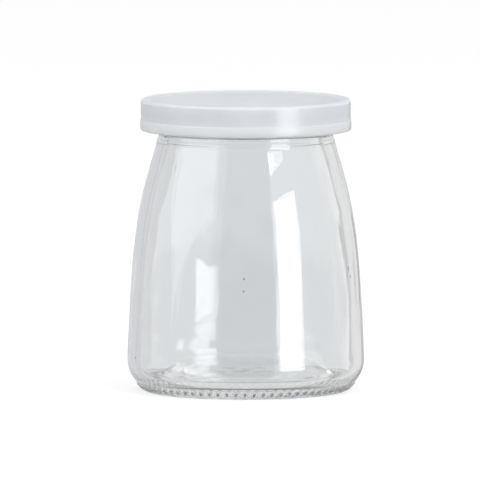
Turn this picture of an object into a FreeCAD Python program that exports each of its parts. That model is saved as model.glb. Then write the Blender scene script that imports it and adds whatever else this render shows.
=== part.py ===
import FreeCAD, Part
import math
import os

# Glass jar with a soft press-on plastic lid.
# Millimetres, +Z up, origin at the centre of the foot, on the plane the jar stands on.
# Both pieces are turned shapes: each is an outline of (radius, height) points spun about Z.

# Jar, outside
glass_height = 85.0        # from the standing plane to the top of the glass rim
body_radius = 35.0         # at the top of the heel, where the jar is widest
heel_height = 9.8          # where the heel rounding runs into the wall
heel_radius = 10.0
heel_lean = 2.1            # degrees the wall leans in above the heel
chamfer_angle = 45.0       # degrees from the standing plane to the face below the heel
foot_width = 2.2           # flat ring that touches the table
lower_sweep = 40.6         # height over which the wall keeps its lean from the heel
upper_sweep = 19.5         # height over which it keeps its lean from the neck

# Jar, neck and rim
neck_radius = 25.4         # outside, at the narrowest
neck_lean = 16.2           # degrees the shoulder leans in where it meets the neck
neck_length = 2.6          # from the top of the shoulder to the narrowest
neck_round = 1.8
seam_height = 0.9          # raised line that the mould leaves round the neck
seam_rise = 0.12
bead_overhang = 4.2        # how far the rim's bead stands out from the neck
bead_height = 4.2
bead_round = 1.2
rim_round = 1.6

# Jar, inside
wall = 2.6
neck_wall = 2.9
heel_wall = 2.8            # between the chamfer and the inside face that runs along it
inner_round = 6.0          # between the inside of the wall and that face
floor_edge = 3.2           # lowest ring of the inside floor, round its raised middle
floor_round = 4.0          # between the face and that ring
throat_rise = 2.2          # from the top of the shoulder to the narrowest part of the mouth
throat_round = 7.0
mouth_flare = 1.15         # how much wider the mouth is at the rim than at the throat

# Raised middle of the base: a sloping side, a wide rounding and a shallow crown.
# The inside floor and the hollow under it each have one, nearly parallel.
middle_inset = 3.4         # from the outer edge of the foot to the start of the floor's slope
middle_run = 5.0           # from there to the corner of slope and crown, sideways
middle_rise = 5.5          # and upwards
middle_round = 10.0
middle_crown = 0.45        # how much higher the crown is at its centre
middle_fillet = 1.0        # at the start of the slope
hollow_run = 7.2           # the same for the hollow, from the inner edge of the foot
hollow_rise = 5.0
hollow_round = 12.0
hollow_crown = 0.4

# Raised slanted bars round the chamfer, which keep the hot glass off the conveyor
grip_count = 74
grip_radius = 0.45
grip_rise = 0.3            # how far a bar stands out of the glass
grip_start = 0.9           # up the chamfer from the foot to the bar's lower end
grip_length = 3.0          # measured up the chamfer
grip_slant = 1.5           # sideways shift from the lower end to the upper one

# Lid
lid_wall = 1.2             # skirt, and the plate where it lies on the glass
skirt_gap = 0.15           # between the glass bead and the skirt
skirt_tail = 1.2           # how far the skirt goes on below its inner ridge
band_height = 3.0          # slightly thicker band along the skirt's lower edge
band_step = 0.2
band_round = 0.6
snap_catch = 1.0           # how far the inner ridge reaches in under the bead
snap_gap = 0.3             # between that ridge and the underside of the bead
top_round = 0.8
border_width = 2.2         # flat border round the sunken top panel
border_step = 0.45
panel_wall = 1.15
panel_sag = 0.3            # how much lower the panel is at its centre
plug_gap = 0.25            # between the ring under the lid and the mouth
plug_wall = 1.1
plug_depth = 4.0
gate_radius = 1.2          # moulding mark in the middle of the lid
gate_depth = 0.2
small_round = 0.3

# What the named sizes fix together
heel_slope = math.tan(math.radians(heel_lean))
neck_slope = math.tan(math.radians(neck_lean))
bead_radius = neck_radius + bead_overhang
bead_low = glass_height - bead_height
neck_height = bead_low - bead_overhang         # the bead's underside slopes at 45 degrees
shoulder_height = neck_height - neck_length
shoulder_radius = neck_radius + neck_length * neck_slope
throat_height = shoulder_height + throat_rise
throat_radius = shoulder_radius - neck_wall - throat_rise * neck_slope


def point(radius, height):
    return FreeCAD.Vector(radius, 0, height)


def chain(corners):
    """Straight runs through (radius, height, rounding) corners, each rounded by a tangent arc."""
    edges = []
    start = point(*corners[0][:2])
    for here, after in zip(corners[1:-1], corners[2:]):
        rounding = here[2]
        corner = point(*here[:2])
        back = (start - corner).normalize()
        ahead = (point(*after[:2]) - corner).normalize()
        half_angle = back.getAngle(ahead) / 2
        reach = rounding / math.tan(half_angle)
        arc_start = corner + back * reach
        if (arc_start - start).Length > 1e-6:
            edges.append(Part.makeLine(start, arc_start))
        start = arc_start
        if rounding > 0:
            middle = (back + ahead).normalize()
            arc_middle = corner + middle * (rounding / math.sin(half_angle) - rounding)
            arc_end = corner + ahead * reach
            edges.append(Part.Arc(start, arc_middle, arc_end).toShape())
            start = arc_end
    end = point(*corners[-1][:2])
    if (end - start).Length > 1e-6:
        edges.append(Part.makeLine(start, end))
    return edges


def dome(inner_radius, outer_radius, centre_height, edge_height):
    """Arc of a shallow dome or dish centred on the Z axis, from the inner radius to its edge."""
    rise = centre_height - edge_height
    radius = (outer_radius ** 2 + rise ** 2) / (2 * rise)

    def on_dome(r):
        return point(r, centre_height - radius + math.copysign(math.sqrt(radius ** 2 - r ** 2), radius))

    middle_radius = (inner_radius + outer_radius) / 2
    return Part.Arc(on_dome(inner_radius), on_dome(middle_radius), on_dome(outer_radius)).toShape()


def spin(edges):
    """Solid made by turning a closed outline about Z."""
    wire = Part.Wire(Part.__sortEdges__(edges))
    return Part.Face(wire).revolve(FreeCAD.Vector(0, 0, 0), FreeCAD.Vector(0, 0, 1), 360)


def wall_curve(low_radius, low_height, high_radius):
    """One side of the jar's wall, from the heel to the top of the shoulder, as one smooth curve."""
    curve = Part.BezierCurve()
    curve.setPoles([
        point(low_radius, low_height),
        point(low_radius - lower_sweep * heel_slope, low_height + lower_sweep),
        point(high_radius + upper_sweep * neck_slope, shoulder_height - upper_sweep),
        point(high_radius, shoulder_height)])
    return curve.toShape()


def heel_reach(rounding, face_angle):
    """From the corner of wall and base face to where its rounding meets either of them."""
    return rounding * math.tan(math.radians(90 + heel_lean - face_angle) / 2)


def corner_below(radius, height, rounding, face_angle):
    """Corner whose rounding ends at the given point of the leaning wall."""
    reach = heel_reach(rounding, face_angle)
    lean = math.radians(heel_lean)
    return (radius + reach * math.sin(lean), height - reach * math.cos(lean), rounding)


def foot_radius():
    """Outer edge of the foot, where the chamfer meets the standing plane."""
    radius, height, _ = corner_below(body_radius, heel_height, heel_radius, chamfer_angle)
    return radius - height / math.tan(math.radians(chamfer_angle))


def raised_middle(start_radius, start_height, run, rise, rounding, crown_rise):
    """Corner at the top of the sloping side, edge of the shallow crown, and the crown's centre."""
    corner_radius = start_radius - run
    crown_radius = corner_radius - 0.45 * rounding
    crown_slope = 2 * crown_radius * crown_rise / (crown_radius ** 2 - crown_rise ** 2)
    crown_edge = start_height + rise + crown_slope * (corner_radius - crown_radius)
    corner = (corner_radius, start_height + rise, rounding)
    return corner, (crown_radius, crown_edge, 0), crown_edge + crown_rise


def hollow():
    """Corners and centre height of the hollow under the base."""
    start = foot_radius() - foot_width
    return raised_middle(start, 0, hollow_run, hollow_rise, hollow_round, hollow_crown)


def jar_outside():
    """From the middle of the base over the foot and the heel to the top of the shoulder."""
    foot = foot_radius()
    corner, crown_edge, centre = hollow()
    edges = [dome(0, crown_edge[0], centre, crown_edge[1])]
    edges += chain([
        crown_edge,
        corner,
        (foot - foot_width, 0, 0),
        (foot, 0, 0),
        corner_below(body_radius, heel_height, heel_radius, chamfer_angle),
        (body_radius, heel_height, 0)])
    edges.append(wall_curve(body_radius, heel_height, shoulder_radius))
    return edges


def jar_finish():
    """Seam, neck, bead and mouth, from the outside of the shoulder to its inside."""
    seam_top = shoulder_height + seam_height
    seam_radius = shoulder_radius - seam_height * neck_slope
    return chain([
        (shoulder_radius, shoulder_height, 0),
        (shoulder_radius + seam_rise, shoulder_height + seam_rise, seam_rise / 2),
        (seam_radius + seam_rise, seam_top - seam_rise, seam_rise / 2),
        (seam_radius, seam_top, 0),
        (neck_radius, neck_height, neck_round),
        (bead_radius, bead_low, bead_round),
        (bead_radius, glass_height, rim_round),
        (throat_radius + mouth_flare, glass_height, rim_round),
        (throat_radius, throat_height, throat_round),
        (shoulder_radius - neck_wall, shoulder_height, 0)])


def jar_inside():
    """From the shoulder down the inside of the wall to the middle of the floor."""
    inner_radius = body_radius - wall
    lean = math.radians(heel_lean)
    slope = math.radians(chamfer_angle)
    face_foot = foot_radius() - heel_wall / math.sin(slope)
    reach = heel_reach(inner_round, chamfer_angle)
    heel_corner_height = (inner_radius + reach * math.sin(lean) - face_foot) * math.tan(slope)
    inner_heel = heel_corner_height + reach * math.cos(lean)
    middle_start = foot_radius() - middle_inset
    middle_corner, crown_edge, centre = raised_middle(
        middle_start, floor_edge, middle_run, middle_rise, middle_round, middle_crown)
    edges = [wall_curve(inner_radius, inner_heel, shoulder_radius - neck_wall)]
    edges += chain([
        (inner_radius, inner_heel, 0),
        corner_below(inner_radius, inner_heel, inner_round, chamfer_angle),
        (face_foot + floor_edge / math.tan(slope), floor_edge, floor_round),
        (middle_start, floor_edge, middle_fillet),
        middle_corner,
        crown_edge])
    edges.append(dome(0, crown_edge[0], centre, crown_edge[1]))
    edges.append(Part.makeLine(point(0, hollow()[2]), point(0, centre)))
    return edges


def grip_bars():
    """Slanted bars with round ends, evenly spaced round the chamfer."""
    slope = math.radians(chamfer_angle)
    along = FreeCAD.Vector(math.cos(slope), 0, math.sin(slope))
    inward = FreeCAD.Vector(-math.sin(slope), 0, math.cos(slope))
    sunk = inward * (grip_radius - grip_rise)
    sideways = FreeCAD.Vector(0, grip_slant / 2, 0)
    low = point(foot_radius(), 0) + along * grip_start + sunk - sideways
    high = point(foot_radius(), 0) + along * (grip_start + grip_length) + sunk + sideways
    rod = Part.makeCylinder(grip_radius, (high - low).Length, low, high - low)
    bar = rod.fuse([Part.makeSphere(grip_radius, low), Part.makeSphere(grip_radius, high)])
    bars = []
    for index in range(grip_count):
        turned = bar.copy()
        turned.rotate(FreeCAD.Vector(0, 0, 0), FreeCAD.Vector(0, 0, 1), 360 * index / grip_count)
        bars.append(turned)
    return bars


def make_jar():
    """One piece of moulded glass: turned body with the grip bars raised on its chamfer."""
    return spin(jar_outside() + jar_finish() + jar_inside()).fuse(grip_bars())


def mouth_radius_at(height):
    """Inside radius of the mouth's straight flare at a height."""
    share = (height - throat_height) / (glass_height - throat_height)
    return throat_radius + mouth_flare * share


def make_lid():
    """Skirt with a thicker lower band, ridge under the glass bead, sunken panel and plug ring."""
    top = glass_height + lid_wall
    skirt_inside = bead_radius + skirt_gap
    skirt_outside = skirt_inside + lid_wall
    snap_radius = bead_radius - snap_catch
    snap_height = bead_low - snap_catch - snap_gap * math.sqrt(2)
    snap_size = skirt_inside - snap_radius
    bottom = snap_height - snap_size - skirt_tail
    band_radius = skirt_outside + band_step
    band_top = bottom + band_height
    plug_tip = glass_height - plug_depth
    plug_outside = mouth_radius_at(plug_tip) - plug_gap
    plug_inside = plug_outside - plug_wall
    panel_radius = skirt_outside - border_width - border_step
    panel_top = top - border_step
    panel_under = panel_top - panel_wall
    panel = dome(gate_radius, panel_radius, panel_top - panel_sag, panel_top)
    gate_height = panel.Vertexes[0].Z
    edges = [dome(0, plug_inside, panel_under - panel_sag, panel_under), panel]
    edges += chain([
        (plug_inside, panel_under, 0),
        (plug_inside, plug_tip, small_round),
        (plug_outside, plug_tip, small_round),
        (plug_outside, glass_height, 0),
        (skirt_inside, glass_height, 0),
        (skirt_inside, snap_height + snap_size, small_round),
        (snap_radius, snap_height, small_round),
        (skirt_inside, snap_height - snap_size, small_round),
        (skirt_inside, bottom, small_round),
        (band_radius, bottom, band_round),
        (band_radius, band_top, small_round),
        (skirt_outside, band_top + band_step, small_round),
        (skirt_outside, top, top_round),
        (skirt_outside - border_width, top, small_round),
        (panel_radius, panel_top, 0)])
    edges += chain([
        (gate_radius, gate_height, 0),
        (gate_radius, gate_height - gate_depth, 0),
        (0, gate_height - gate_depth, 0),
        (0, panel_under - panel_sag, 0)])
    return spin(edges)


os.makedirs("parts", exist_ok=True)
make_jar().exportStep("parts/jar.step")
make_lid().exportStep("parts/lid.step")
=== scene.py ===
import math
import bpy
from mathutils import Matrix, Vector


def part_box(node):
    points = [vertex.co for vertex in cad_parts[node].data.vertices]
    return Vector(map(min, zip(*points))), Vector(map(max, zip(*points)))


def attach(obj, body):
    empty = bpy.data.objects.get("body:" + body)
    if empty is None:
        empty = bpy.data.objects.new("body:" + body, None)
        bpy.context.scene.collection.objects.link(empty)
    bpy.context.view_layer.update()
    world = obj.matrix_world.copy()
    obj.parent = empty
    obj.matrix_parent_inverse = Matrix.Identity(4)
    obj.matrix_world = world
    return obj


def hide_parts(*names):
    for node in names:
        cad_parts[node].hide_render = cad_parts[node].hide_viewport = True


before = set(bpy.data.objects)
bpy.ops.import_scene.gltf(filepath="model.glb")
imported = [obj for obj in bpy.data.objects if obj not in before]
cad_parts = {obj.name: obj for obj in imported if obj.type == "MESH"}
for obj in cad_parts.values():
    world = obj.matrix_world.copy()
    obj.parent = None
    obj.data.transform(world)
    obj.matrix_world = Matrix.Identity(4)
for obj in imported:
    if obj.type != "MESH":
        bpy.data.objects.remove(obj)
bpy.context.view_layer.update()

scene = bpy.context.scene
scene.view_settings.view_transform = "Standard"


# Jar: a wide-mouthed jar of clear glass, formed in a mould in one piece. It stands on the ring
# round its hollow base, and slanted bars go round the chamfer above that ring. The section of
# its wall is drawn from under the base up to the rim and down the inside, and spun.
jar_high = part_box("jar")[1]
glass_height = jar_high.z
body_radius = jar_high.x
wall = 0.0026

heel_height = 0.0098
heel_radius = 0.010
heel_lean = math.radians(2.1)
heel_wall = 0.0028
heel_step = math.radians(9)
chamfer_angle = math.radians(45)
inner_round = 0.006

foot_width = 0.0022
foot_round = 0.0007
foot_step = math.radians(15)

lower_sweep = 0.0406
upper_sweep = 0.0195
wall_points = 15

neck_radius = 0.0254
neck_lean = math.radians(16.2)
neck_length = 0.0026
neck_round = 0.0018
neck_wall = 0.0029
seam_height = 0.0009
seam_rise = 0.00012
bead_overhang = 0.0042
bead_height = 0.0042
bead_round = 0.0012
rim_round = 0.0016
throat_rise = 0.0022
throat_round = 0.007
mouth_flare = 0.00115
finish_step = math.radians(25)

floor_edge = 0.0032
floor_round = 0.0040
middle_inset = 0.0034
middle_run = 0.0050
middle_rise = 0.0055
middle_round = 0.010
middle_crown = 0.00045
middle_fillet = 0.001
hollow_run = 0.0072
hollow_rise = 0.0050
hollow_round = 0.012
hollow_crown = 0.0004
crown_setback = 0.45          # share of the rounding by which the crown starts inside its corner
base_step = math.radians(10)
base_points = 5

grip_count = 74
columns_per_grip = 3
grip_rows = 4
grip_rise = 0.0004
grip_start = 0.0009
grip_length = 0.0030
grip_slant = 0.0015

pole_radius = 0.0008          # small hole that a dome keeps on the axis until it is closed
same_place = 1e-5             # points nearer than this are one point

bead_radius = neck_radius + bead_overhang
bead_low = glass_height - bead_height
neck_height = bead_low - bead_overhang
shoulder_height = neck_height - neck_length
shoulder_radius = neck_radius + neck_length * math.tan(neck_lean)
throat_height = shoulder_height + throat_rise
throat_radius = shoulder_radius - neck_wall - throat_rise * math.tan(neck_lean)


def rounded(corners, step):
    """Points of straight runs through (radius, height, rounding) corners with round corners."""
    points = [Vector(corners[0][:2])]
    for here, after in zip(corners[1:-1], corners[2:]):
        corner = Vector(here[:2])
        back = (points[-1] - corner).normalized()
        ahead = (Vector(after[:2]) - corner).normalized()
        if here[2] == 0:
            points.append(corner)
            continue
        half_angle = back.angle(ahead) / 2
        turn = math.pi - 2 * half_angle
        centre = corner + (back + ahead).normalized() * here[2] / math.sin(half_angle)
        spoke = corner + back * here[2] / math.tan(half_angle) - centre
        side = 1 if back.cross(ahead) < 0 else -1
        count = max(2, round(turn / step))
        for index in range(count + 1):
            angle = side * turn * index / count
            points.append(centre + Vector((
                spoke.x * math.cos(angle) - spoke.y * math.sin(angle),
                spoke.x * math.sin(angle) + spoke.y * math.cos(angle))))
    points.append(Vector(corners[-1][:2]))
    return points


def dome(radius, centre_height, edge_height, count):
    """Points of a shallow dome from near its centre to its edge."""
    points = []
    for index in range(count + 1):
        r = pole_radius + (radius - pole_radius) * index / count
        points.append(Vector((r, centre_height + (edge_height - centre_height) * (r / radius) ** 2)))
    return points


def wall_curve(low_radius, low_height, high_radius):
    """Points of the jar's wall from the heel to the top of the shoulder, one smooth curve."""
    low = Vector((low_radius, low_height))
    low_handle = low + Vector((-lower_sweep * math.tan(heel_lean), lower_sweep))
    high = Vector((high_radius, shoulder_height))
    high_handle = high + Vector((upper_sweep * math.tan(neck_lean), -upper_sweep))
    points = []
    for index in range(wall_points + 1):
        t = index / wall_points
        s = 1 - t
        points.append(
            low * s ** 3 + low_handle * 3 * s * s * t + high_handle * 3 * s * t * t + high * t ** 3)
    return points


def heel_reach(rounding):
    """How far a rounding between the chamfer and the leaning wall reaches along each of them."""
    return rounding * math.tan((math.pi / 2 + heel_lean - chamfer_angle) / 2)


def corner_below(radius, height, rounding):
    """Corner of chamfer and wall whose rounding ends at the given point of the wall."""
    reach = heel_reach(rounding)
    return (radius + reach * math.sin(heel_lean), height - reach * math.cos(heel_lean), rounding)


def raised_middle(start_radius, start_height, run, rise, rounding, crown_rise):
    """Corner at the top of the sloping side, edge of the shallow crown, and the crown's centre."""
    corner_radius = start_radius - run
    crown_radius = corner_radius - crown_setback * rounding
    crown_slope = 2 * crown_radius * crown_rise / (crown_radius ** 2 - crown_rise ** 2)
    crown_edge = start_height + rise + crown_slope * (corner_radius - crown_radius)
    corner = (corner_radius, start_height + rise, rounding)
    return corner, (crown_radius, crown_edge, 0), crown_edge + crown_rise


def join_points(*runs):
    """One section from several runs of points, each starting where the last one ended."""
    section = []
    for run in runs:
        for place in run:
            if not section or (place - section[-1]).length > same_place:
                section.append(place)
    return section


def first_point(name, place):
    """New object in edit mode that holds one selected vertex, ready to be extruded."""
    bpy.ops.object.select_all(action="DESELECT")
    bpy.ops.mesh.primitive_plane_add(size=0.001, location=(0, 0, 0))
    piece = bpy.context.object
    piece.name = name
    piece.data.name = name
    bpy.ops.object.mode_set(mode="EDIT")
    bpy.ops.mesh.select_mode(type="VERT")
    bpy.ops.mesh.select_all(action="SELECT")
    bpy.ops.mesh.merge(type="CENTER")
    bpy.ops.transform.translate(value=place)
    return piece


def turned_piece(name, section, columns):
    """Draws a section point by point by extruding one vertex, and spins it about Z."""
    piece = first_point(name, (section[0].x, 0, section[0].y))
    for here, after in zip(section, section[1:]):
        bpy.ops.mesh.extrude_region_move(
            TRANSFORM_OT_translate={"value": (after.x - here.x, 0, after.y - here.y)})
    bpy.ops.mesh.select_all(action="SELECT")
    bpy.ops.mesh.spin(steps=columns, angle=math.tau, center=(0, 0, 0), axis=(0, 0, 1))
    bpy.ops.mesh.select_all(action="SELECT")
    bpy.ops.mesh.remove_doubles(threshold=1e-6)
    bpy.ops.mesh.normals_make_consistent(inside=False)
    bpy.ops.object.mode_set(mode="OBJECT")
    return piece


def close_poles(piece):
    """Closes the small holes that a turned piece has on its axis, each with a fan of faces."""
    bpy.ops.object.select_all(action="DESELECT")
    piece.select_set(True)
    bpy.context.view_layer.objects.active = piece
    bpy.ops.object.mode_set(mode="EDIT")
    bpy.ops.mesh.select_mode(type="VERT")
    bpy.ops.mesh.select_all(action="DESELECT")
    bpy.ops.mesh.select_non_manifold()
    bpy.ops.mesh.edge_face_add()
    bpy.ops.mesh.poke()
    bpy.ops.mesh.select_all(action="SELECT")
    bpy.ops.mesh.normals_make_consistent(inside=False)
    bpy.ops.object.mode_set(mode="OBJECT")


def select_where(piece, kind, test):
    """Enters edit mode with only those vertices or faces of a piece selected that pass a test."""
    bpy.ops.object.mode_set(mode="EDIT")
    bpy.ops.mesh.select_mode(type=kind)
    bpy.ops.mesh.select_all(action="DESELECT")
    bpy.ops.object.mode_set(mode="OBJECT")
    for element in piece.data.vertices if kind == "VERT" else piece.data.polygons:
        element.select = test(element)
    bpy.ops.object.mode_set(mode="EDIT")


heel_corner = corner_below(body_radius, heel_height, heel_radius)
foot_radius = heel_corner[0] - heel_corner[1] / math.tan(chamfer_angle)
hollow_start = foot_radius - foot_width
hollow_corner, hollow_edge, hollow_centre = raised_middle(
    hollow_start, 0, hollow_run, hollow_rise, hollow_round, hollow_crown)
underside = dome(hollow_edge[0], hollow_centre, hollow_edge[1], base_points) + rounded([
    hollow_edge, hollow_corner, (hollow_start, 0, 0)], base_step)

along = Vector((math.cos(chamfer_angle), math.sin(chamfer_angle)))
grip_low = Vector((foot_radius, 0)) + along * grip_start
grip_steps = [grip_low + along * grip_length * row / grip_rows for row in range(grip_rows + 1)]
foot = rounded([
    (hollow_start, 0, 0),
    (foot_radius, 0, foot_round),
    (*grip_steps[0], 0)], foot_step)
# The rounding of the heel starts 0.4 mm lower than the bars end, so the outline doubles back there.
heel = rounded([
    (*grip_steps[-1], 0),
    heel_corner,
    (body_radius, heel_height, 0)], heel_step)
outer_wall = wall_curve(body_radius, heel_height, shoulder_radius)

seam_radius = shoulder_radius - seam_height * math.tan(neck_lean)
seam_top = shoulder_height + seam_height
finish = rounded([
    (shoulder_radius, shoulder_height, 0),
    (shoulder_radius + seam_rise, shoulder_height + seam_rise, 0),
    (seam_radius + seam_rise, seam_top - seam_rise, 0),
    (seam_radius, seam_top, 0),
    (neck_radius, neck_height, neck_round),
    (bead_radius, bead_low, bead_round),
    (bead_radius, glass_height, rim_round),
    (throat_radius + mouth_flare, glass_height, rim_round),
    (throat_radius, throat_height, throat_round),
    (shoulder_radius - neck_wall, shoulder_height, 0)], finish_step)

inner_radius = body_radius - wall
inner_foot = foot_radius - heel_wall / math.sin(chamfer_angle)
inner_reach = heel_reach(inner_round)
inner_heel = (
    inner_radius + inner_reach * math.sin(heel_lean) - inner_foot + inner_reach * math.cos(heel_lean))
inner_wall = wall_curve(inner_radius, inner_heel, shoulder_radius - neck_wall)[::-1]
middle_start = foot_radius - middle_inset
middle_corner, middle_edge, middle_centre = raised_middle(
    middle_start, floor_edge, middle_run, middle_rise, middle_round, middle_crown)
inside_base = rounded([
    (inner_radius, inner_heel, 0),
    corner_below(inner_radius, inner_heel, inner_round),
    (inner_foot + floor_edge, floor_edge, floor_round),
    (middle_start, floor_edge, middle_fillet),
    middle_corner,
    middle_edge], base_step) + dome(middle_edge[0], middle_centre, middle_edge[1], base_points)[::-1]

section = join_points(underside, foot, grip_steps, heel, outer_wall, finish, inner_wall, inside_base)
jar = turned_piece("jar_glass", section, grip_count * columns_per_grip)


# The glass itself, clear with a trace of grey. The mould leaves its skin faintly uneven, drawn out along
# the height. The tops of the bars are dark glass, a painted shade for the dark that the bars bend into
# view.
def set_inputs(tree, node, inputs):
    """Sets each named input to a value, or links it where another node's output is given."""
    for name, value in inputs.items():
        if isinstance(value, bpy.types.NodeSocket):
            tree.links.new(value, node.inputs[name])
        else:
            node.inputs[name].default_value = value


def add_node(tree, kind, inputs, **settings):
    """New shader node of a kind, with its settings made before its inputs."""
    node = tree.nodes.new("ShaderNode" + kind)
    for name, value in settings.items():
        setattr(node, name, value)
    set_inputs(tree, node, inputs)
    return node


def glass_material(name, tint):
    """Clear glass of one tint with the mould's faint unevenness on it."""
    material = bpy.data.materials.new(name)
    material.use_nodes = True
    tree = material.node_tree
    coordinate = add_node(tree, "TexCoord", {})
    drawn_out = add_node(tree, "Mapping", {
        "Vector": coordinate.outputs["Object"], "Scale": (1, 1, 0.25)})
    skin = add_node(tree, "TexNoise", {"Vector": drawn_out.outputs["Vector"], "Scale": 330, "Detail": 2})
    bump = add_node(tree, "Bump", {"Height": skin.outputs["Fac"], "Strength": 0.2, "Distance": 0.0001})
    set_inputs(tree, tree.nodes["Principled BSDF"], {
        "Base Color": (*tint, 1),
        "Roughness": 0.0,
        "IOR": 1.5,
        "Transmission Weight": 1.0,
        "Normal": bump.outputs["Normal"]})
    return material


jar.data.materials.append(glass_material("clear_glass", (0.955, 0.962, 0.962)))
jar.data.materials.append(glass_material("grip_painted_dark_glass", (0.12, 0.14, 0.14)))
painted_dark_slot = 1

# The bars: all that lies above the lowest row of faces on the chamfer is turned together, a part
# of the slant at a time, so that row leans and the rows above it stand upright. Faces are then
# raised along an even slant, which puts each bar's top face one column aside from the others.
row_turn = grip_slant / grip_steps[0].x / grip_rows
select_where(jar, "VERT", lambda vertex: vertex.co.z > grip_steps[1].y - same_place)
for row in range(grip_rows):
    bpy.ops.transform.rotate(value=-row_turn, orient_axis="Z", center_override=(0, 0, 0))
grip_pitch = math.tau / grip_count


def on_bar(face):
    """Whether a face as high as the bars is one that is raised."""
    place = face.center
    up = (place.z - grip_steps[0].y) / (grip_steps[-1].y - grip_steps[0].y)
    around = (math.atan2(place.y, place.x) - up * row_turn * grip_rows) % grip_pitch
    raised = around / grip_pitch * columns_per_grip < 1
    return 0 < up < 1 and place.xy.length > foot_radius and raised


select_where(jar, "FACE", on_bar)
bpy.ops.mesh.extrude_region_shrink_fatten(TRANSFORM_OT_shrink_fatten={"value": grip_rise})
bpy.ops.object.mode_set(mode="OBJECT")
# Painted shade: the raised faces between these heights take the dark glass, in place of the dark that the
# bars bend into view.
painted_dark_low = grip_steps[1].y - grip_rise
painted_dark_high = grip_steps[3].y - grip_rise / 2
for face in jar.data.polygons:
    if face.select and painted_dark_low < face.center.z < painted_dark_high:
        face.material_index = painted_dark_slot

# Moulded glass is never quite even: broad ripples on the outside of the wall and tall streaks
# on the inside fade out towards the heel and the neck. They sink into the glass, as the pattern
# is nearly always under its middle level, so that the jar keeps its outline.
ripple_low = 0.012
ripple_low_fade = 0.010
ripple_high_fade = 0.006
ripple_level = 0.8


def wall_middle(height):
    """Radius halfway through the glass at a height above the heel."""
    low = [place for place in outer_wall if place.y <= height][-1]
    high = [place for place in outer_wall if place.y > height][0]
    share = (height - low.y) / (high.y - low.y)
    return low.x + (high.x - low.x) * share - wall / 2


outside = jar.vertex_groups.new(name="wall")
inside = jar.vertex_groups.new(name="inside")
for vertex in jar.data.vertices:
    height = vertex.co.z
    share = min((height - ripple_low) / ripple_low_fade, (shoulder_height - height) / ripple_high_fade, 1)
    if share > 0:
        group = inside if vertex.co.xy.length < wall_middle(height) else outside
        group.add([vertex.index], share, "REPLACE")
bpy.ops.object.select_all(action="DESELECT")
jar.select_set(True)
bpy.context.view_layer.objects.active = jar
for group, period, tallness, depth in (
        ("wall", 0.012, 1.0, 0.00026),
        ("inside", 0.005, 12.0, 0.00011)):
    ripple_frame = bpy.data.objects.new("ripple_frame", None)
    scene.collection.objects.link(ripple_frame)
    ripple_frame.scale = (period, period, period * tallness)
    ripples = bpy.data.textures.new("ripples", "CLOUDS")
    ripples.noise_scale = 1.0
    ripples.noise_depth = 1
    wave = jar.modifiers.new("wave", "DISPLACE")
    wave.texture = ripples
    wave.texture_coords = "OBJECT"
    wave.texture_coords_object = ripple_frame
    wave.vertex_group = group
    wave.mid_level = ripple_level
    wave.strength = depth
    bpy.context.view_layer.update()
    bpy.ops.object.modifier_apply(modifier="wave")
    bpy.data.objects.remove(ripple_frame)
jar.vertex_groups.clear()

smooth = jar.modifiers.new("smooth", "SUBSURF")
smooth.levels = 1
smooth.render_levels = 1
smooth.use_limit_surface = False
smooth.boundary_smooth = "PRESERVE_CORNERS"
bpy.ops.object.modifier_apply(modifier="smooth")
close_poles(jar)
bpy.ops.object.shade_smooth()

# Seeds: tiny air bubbles caught in the wall, drawn tall as the glass was blown. Each is given as
# degrees round from the front, height, half width and half length, and faces into its bubble.
seed_lean = math.radians(4)
for degrees, height, half_width, half_length in (
        (-1, 0.0359, 0.00030, 0.00034),
        (-1, 0.0322, 0.00026, 0.00030),
        (66, 0.0370, 0.00022, 0.00090),
        (68, 0.0346, 0.00022, 0.00050),
        (-70, 0.0106, 0.00022, 0.00040)):
    turn = math.radians(degrees)
    middle = wall_middle(height)
    bpy.ops.object.select_all(action="DESELECT")
    bpy.ops.mesh.primitive_ico_sphere_add(
        subdivisions=2, radius=1.0, location=(middle * math.sin(turn), -middle * math.cos(turn), height))
    seed = bpy.context.object
    seed.scale = (half_width, half_width, half_length)
    seed.rotation_euler = (0, seed_lean, turn)
    bpy.ops.object.transform_apply(location=True, rotation=True, scale=True)
    bpy.ops.object.mode_set(mode="EDIT")
    bpy.ops.mesh.select_all(action="SELECT")
    bpy.ops.mesh.flip_normals()
    bpy.ops.object.mode_set(mode="OBJECT")
    bpy.ops.object.shade_smooth()
    jar.select_set(True)
    bpy.context.view_layer.objects.active = jar
    bpy.ops.object.join()

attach(jar, "root")
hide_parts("jar")


# Lid: soft milky plastic, moulded in one piece and pressed over the bead of the glass. A snap
# ridge inside its skirt catches under the bead, a plug ring drops into the mouth, and the sunk
# panel on top sags slightly. The band at its lower edge is thicker.
lid_wall = 0.0012
skirt_gap = 0.00015
skirt_tail = 0.0012
band_height = 0.0030
band_step = 0.0002
band_round = 0.0006
snap_catch = 0.0010
snap_gap = 0.0003
top_round = 0.0008
border_width = 0.0022
border_step = 0.00045
panel_wall = 0.00115
panel_sag = 0.0003
plug_gap = 0.00025
plug_wall = 0.0011
plug_depth = 0.0040
small_round = 0.0003
lid_step = math.radians(25)
lid_columns = 180
under_points = 6
panel_points = 10

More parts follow.
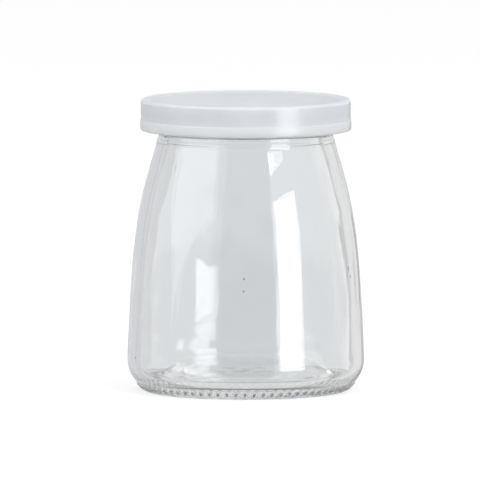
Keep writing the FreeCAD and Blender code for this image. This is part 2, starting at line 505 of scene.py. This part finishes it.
top = glass_height + lid_wall
skirt_inside = bead_radius + skirt_gap
skirt_outside = skirt_inside + lid_wall
snap_radius = bead_radius - snap_catch
snap_height = bead_low - snap_catch - snap_gap * math.sqrt(2)
snap_size = skirt_inside - snap_radius
bottom = snap_height - snap_size - skirt_tail
band_radius = skirt_outside + band_step
band_top = bottom + band_height
plug_tip = glass_height - plug_depth
plug_share = (plug_tip - throat_height) / (glass_height - throat_height)
plug_outside = throat_radius + mouth_flare * plug_share - plug_gap
plug_inside = plug_outside - plug_wall
panel_radius = skirt_outside - border_width - border_step
panel_top = top - border_step
panel_under = panel_top - panel_wall
lid_section = join_points(
    dome(plug_inside, panel_under - panel_sag, panel_under, under_points),
    rounded([
        (plug_inside, panel_under, 0),
        (plug_inside, plug_tip, small_round),
        (plug_outside, plug_tip, small_round),
        (plug_outside, glass_height, small_round),
        (skirt_inside, glass_height, small_round),
        (skirt_inside, snap_height + snap_size, small_round),
        (snap_radius, snap_height, small_round),
        (skirt_inside, snap_height - snap_size, small_round),
        (skirt_inside, bottom, small_round),
        (band_radius, bottom, band_round),
        (band_radius, band_top, small_round),
        (skirt_outside, band_top + band_step, small_round),
        (skirt_outside, top, top_round),
        (skirt_outside - border_width, top, small_round),
        (panel_radius, panel_top, 0)], lid_step),
    dome(panel_radius, panel_top - panel_sag, panel_top, panel_points)[::-1])
lid = turned_piece("lid_plastic", lid_section, lid_columns)
close_poles(lid)
bpy.ops.object.shade_smooth()


def milky_plastic():
    """Cloudy plastic that light soaks into, duller on top, with painted light that makes the thick band
    paler.
    """
    plastic = bpy.data.materials.new("milky_plastic")
    plastic.use_nodes = True
    tree = plastic.node_tree
    coordinate = add_node(tree, "TexCoord", {})
    place = add_node(tree, "SeparateXYZ", {"Vector": coordinate.outputs["Object"]})
    cloud = add_node(tree, "TexNoise", {
        "Vector": coordinate.outputs["Object"], "Scale": 55, "Detail": 3})
    milk = add_node(tree, "ValToRGB", {"Fac": cloud.outputs["Fac"]})
    greyer, whiter = milk.color_ramp.elements
    greyer.position = 0.3
    greyer.color = (0.735, 0.77, 0.825, 1)
    whiter.position = 0.7
    whiter.color = (0.785, 0.815, 0.865, 1)
    # Painted light: the band is paler, in place of the light that shines through the plastic there from
    # behind.
    band_painted_light = add_node(tree, "MapRange", {
        "Value": place.outputs["Z"], "From Min": band_top + 0.0018, "From Max": band_top - 0.0008})
    colour = add_node(tree, "Mix", {
        "Factor": band_painted_light.outputs["Result"],
        "A": milk.outputs["Color"],
        "B": (0.85, 0.885, 0.94, 1)}, data_type="RGBA")
    satin = add_node(tree, "MapRange", {"Value": cloud.outputs["Fac"], "To Min": 0.14, "To Max": 0.30})
    on_top = add_node(tree, "MapRange", {
        "Value": place.outputs["Z"], "From Min": top - 0.0012, "From Max": top - 0.0006, "To Max": 0.12})
    rough = add_node(tree, "Math", {
        0: satin.outputs["Result"], 1: on_top.outputs["Result"]}, operation="ADD")
    broad = add_node(tree, "Bump", {"Height": cloud.outputs["Fac"], "Strength": 0.35, "Distance": 0.001})
    peel = add_node(tree, "TexNoise", {
        "Vector": coordinate.outputs["Object"], "Scale": 420, "Detail": 2})
    fine = add_node(tree, "Bump", {
        "Height": peel.outputs["Fac"],
        "Normal": broad.outputs["Normal"],
        "Strength": 0.25,
        "Distance": 0.0001})
    set_inputs(tree, tree.nodes["Principled BSDF"], {
        "Base Color": colour.outputs["Result"],
        "Roughness": rough.outputs[0],
        "Normal": fine.outputs["Normal"],
        "Subsurface Weight": 1.0,
        "Subsurface Radius": (1.0, 1.0, 1.0),
        "Subsurface Scale": 0.0025})
    return plastic


lid.data.materials.append(milky_plastic())
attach(lid, "root")
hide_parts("lid")


# Camera: a long lens a little above the table, level with the middle of the jar.
camera_distance = 5.0
camera_elevation = math.radians(5.3)
frame_width = 0.1416
aim = Vector((-0.0017, 0.0, 0.04435))

camera_data = bpy.data.cameras.new("camera")
camera_data.lens = camera_data.sensor_width * camera_distance / frame_width
camera = bpy.data.objects.new("camera", camera_data)
scene.collection.objects.link(camera)
towards_camera = Vector((0, -math.cos(camera_elevation), math.sin(camera_elevation)))
camera.location = aim + towards_camera * camera_distance
camera.rotation_euler = (math.pi / 2 - camera_elevation, 0, 0)
scene.camera = camera

# Light crosses the walls and the base of the glass many times before it leaves them.
glass_bounces = 64
scene.cycles.max_bounces = glass_bounces
scene.cycles.glossy_bounces = glass_bounces
scene.cycles.transmission_bounces = glass_bounces


# Floor: a plain matt table top that reads as white to the camera and keeps the jar's shadow.
# The glass doesn't show it, and shows the cards below instead.
def seen_by_camera(tree):
    """Output that is 1 for what the camera sees, straight or by way of gloss or glass."""
    path = add_node(tree, "LightPath", {})
    seen = path.outputs["Is Camera Ray"]
    for kind in ("Is Glossy Ray", "Is Transmission Ray"):
        seen = add_node(tree, "Math", {0: seen, 1: path.outputs[kind]}, operation="MAXIMUM").outputs[0]
    return seen


def empty_tree(owner):
    """Node tree of a material or a world with its nodes taken out."""
    owner.use_nodes = True
    owner.node_tree.nodes.clear()
    return owner.node_tree


floor_glow = 0.65
bpy.ops.object.select_all(action="DESELECT")
bpy.ops.mesh.primitive_circle_add(vertices=96, radius=3.0, fill_type="NGON", location=(0, 0, 0))
floor = bpy.context.object
floor.name = "floor"
white = bpy.data.materials.new("floor_white")
tree = empty_tree(white)
diffuse = add_node(tree, "BsdfDiffuse", {"Color": (0.5, 0.5, 0.5, 1)})
level = add_node(tree, "Math", {0: seen_by_camera(tree), 1: floor_glow}, operation="MULTIPLY")
glow = add_node(tree, "Emission", {"Strength": level.outputs[0]})
both = add_node(tree, "AddShader", {0: diffuse.outputs[0], 1: glow.outputs[0]})
add_node(tree, "OutputMaterial", {"Surface": both.outputs[0]})
floor.data.materials.append(white)
floor.visible_glossy = False
floor.visible_transmission = False


# Studio: a white room that lights a little less than it shows, a broad soft lamp at the left, and
# a fill lamp at each side that neither the glass nor the gloss shows.
room_light = 0.80
lamp_aim = 0.045

world = bpy.data.worlds.new("studio")
scene.world = world
tree = empty_tree(world)
level = add_node(tree, "MapRange", {"Value": seen_by_camera(tree), "To Min": room_light, "To Max": 1.0})
background = add_node(tree, "Background", {"Strength": level.outputs[0]})
add_node(tree, "OutputWorld", {"Surface": background.outputs[0]})


def lamp(name, azimuth, elevation, distance, width, height, strength):
    """Area lamp at angles to the right of the camera and above the table, facing the jar."""
    data = bpy.data.lights.new(name, "AREA")
    data.shape = "RECTANGLE"
    data.size = width
    data.size_y = height
    data.energy = strength * width * height * math.pi
    light = bpy.data.objects.new(name, data)
    scene.collection.objects.link(light)
    a = math.radians(azimuth)
    e = math.radians(elevation)
    direction = Vector((math.sin(a) * math.cos(e), -math.cos(a) * math.cos(e), math.sin(e)))
    light.location = direction * distance + Vector((0, 0, lamp_aim))
    light.rotation_euler = direction.to_track_quat("Z", "Y").to_euler()
    return light


soft = lamp("left_soft", -72, 33, 1.0, 0.95, 1.1, 0.98)
soft.rotation_euler.rotate_axis("Z", math.radians(30))
soft.visible_diffuse = False
for name, azimuth, strength in (("left_fill", -50, 1.35), ("right_fill", 45, 2.0)):
    fill = lamp(name, azimuth, 34, 1.0, 0.8, 0.8, strength)
    fill.visible_glossy = False
    fill.visible_transmission = False


# Cards: curved sheets of grey round the jar, as stand round clear glass in a studio to draw its
# edges. Only the glass and the gloss of the lid show them, and they light nothing else.
def only_in_glass(card):
    """Leaves a card to the rays that glass bends or mirrors."""
    card.visible_camera = False
    card.visible_diffuse = False
    card.visible_shadow = False


def curved_card(name, azimuths, elevations=(-40, 35), distance=1.5):
    """Card between two angles to the right of the camera and two above the table."""
    start = math.radians(azimuths[0])
    span = math.radians(azimuths[1] - azimuths[0])
    low, high = (lamp_aim + distance * math.tan(math.radians(angle)) for angle in elevations)
    card = first_point(name, (distance * math.sin(start), -distance * math.cos(start), low))
    bpy.ops.mesh.extrude_region_move(TRANSFORM_OT_translate={"value": (0, 0, high - low)})
    bpy.ops.mesh.select_all(action="SELECT")
    bpy.ops.mesh.spin(steps=24, angle=-span, center=(0, 0, 0), axis=(0, 0, 1))
    bpy.ops.object.mode_set(mode="OBJECT")
    only_in_glass(card)
    return card


def paint_card(card, grey, straight=None):
    """Lets a card glow in one grey, or in another where nothing mirrored it on the way."""
    paint = bpy.data.materials.new(card.name)
    tree = empty_tree(paint)
    colour = (*grey, 1)
    if straight:
        path = add_node(tree, "LightPath", {})
        colour = add_node(tree, "Mix", {
            "Factor": path.outputs["Glossy Depth"],
            "A": (*straight, 1),
            "B": (*grey, 1)}, data_type="RGBA").outputs["Result"]
    glow = add_node(tree, "Emission", {"Color": colour})
    add_node(tree, "OutputMaterial", {"Surface": glow.outputs[0]})
    card.data.materials.append(paint)
    return tree, glow


for name, azimuths, grey in (
        ("grey_left", (189, 224), (0.66, 0.67, 0.69)),
        ("flag_left", (-136, -131), (0.4, 0.4, 0.4)),
        ("flag_right", (159, 165), (0.5, 0.5, 0.5)),
        ("flag_left_back", (-168, -163), (0.55, 0.55, 0.56))):
    paint_card(curved_card(name, azimuths), grey)
paint_card(curved_card("dark_front", (-36, 29)), (0.15, 0.15, 0.15), straight=(0.76, 0.77, 0.79))

# The back card is a little lighter round the height of the jar's foot and fades to white at the
# side that shows in the right half of the glass.
back_grey = (0.75, 0.76, 0.78)
back_bottom = -0.15
back_top = 0.35
fade_start = math.radians(8)
fade_end = math.radians(13.5)
tree, glow = paint_card(curved_card("grey_back", (166, 189)), back_grey)
coordinate = add_node(tree, "TexCoord", {})
place = add_node(tree, "SeparateXYZ", {"Vector": coordinate.outputs["Object"]})
height = add_node(tree, "MapRange", {
    "Value": place.outputs["Z"], "From Min": back_bottom, "From Max": back_top})
shade = add_node(tree, "ValToRGB", {"Fac": height.outputs["Result"]})
stops = shade.color_ramp.elements
for where, share in ((0.10, 1.0), (0.16, 1.09), (0.38, 1.09), (0.62, 1.0), (0.85, 0.95)):
    stop = stops.new(where)
    stop.color = (*(level * share for level in back_grey), 1)
stops.remove(stops[0])
stops.remove(stops[-1])
turn = add_node(tree, "Math", {0: place.outputs["X"], 1: place.outputs["Y"]}, operation="ARCTAN2")
side = add_node(tree, "MapRange", {
    "Value": turn.outputs[0], "From Min": fade_start, "From Max": fade_end})
faded = add_node(tree, "Mix", {
    "Factor": side.outputs["Result"],
    "A": shade.outputs["Color"],
    "B": (1, 1, 1, 1)}, data_type="RGBA")
set_inputs(tree, glow, {"Color": faded.outputs["Result"]})


# Strips: two upright strip lamps at the right, one above the other, that the glass mirrors. A
# lamp doesn't show straight through the glass. The card in its place does, in plain white, and
# is bright only where the far wall of the jar mirrors it.
strip_distance = 0.6
strip_strength = 4.4
card_strength = 4.8
for name, azimuth, elevation, width, height, card_azimuths, card_elevations in (
        ("key_strip", 45.5, 2.6, 0.27, 0.385, (32.8, 58.2), (-15.2, 20.4)),
        ("top_strip", 41.5, 28.8, 0.25, 0.050, (29.7, 53.3), (26.4, 31.2))):
    strip = lamp(name, azimuth, elevation, strip_distance, width, height, strip_strength)
    strip.visible_diffuse = False
    strip.visible_transmission = False
    twin = curved_card(name + "_card", card_azimuths, card_elevations, strip_distance)
    paint_card(twin, (card_strength, card_strength, card_strength), straight=(1, 1, 1))
    twin.visible_glossy = False


# Small flags that only gloss shows: one darkens the lower right edge of the glass, and one close
# behind the lid takes the glare off its top.
edge_flag = curved_card("edge_flag", (155, 178), (-25, -1))
paint_card(edge_flag, (0.3, 0.3, 0.3))
edge_flag.visible_transmission = False
lid_flag = curved_card("lid_flag", (152, 196), (32.7, 35.4), 0.065)
paint_card(lid_flag, (0.0, 0.0, 0.0))
lid_flag.visible_transmission = False


# Dark ring: a narrow ring of dark card just under the foot, which only the glass shows: a painted contact
# shadow, so that the foot stands out against the white table.
ring_radius = 0.0308
ring_width = 0.0030
ring_height = -0.0005
bpy.ops.object.select_all(action="DESELECT")
bpy.ops.mesh.primitive_circle_add(
    vertices=64, radius=ring_radius, fill_type="NGON", location=(0, 0, ring_height))
ring = bpy.context.object
ring.name = "painted_contact_shadow"
bpy.ops.object.mode_set(mode="EDIT")
bpy.ops.mesh.select_all(action="SELECT")
bpy.ops.mesh.inset(thickness=ring_width)
bpy.ops.mesh.delete(type="FACE")
bpy.ops.object.mode_set(mode="OBJECT")
# Painted shade: the ring's dark grey stands in for the contact shadow under the foot.
paint_card(ring, (0.25, 0.25, 0.22))
only_in_glass(ring)
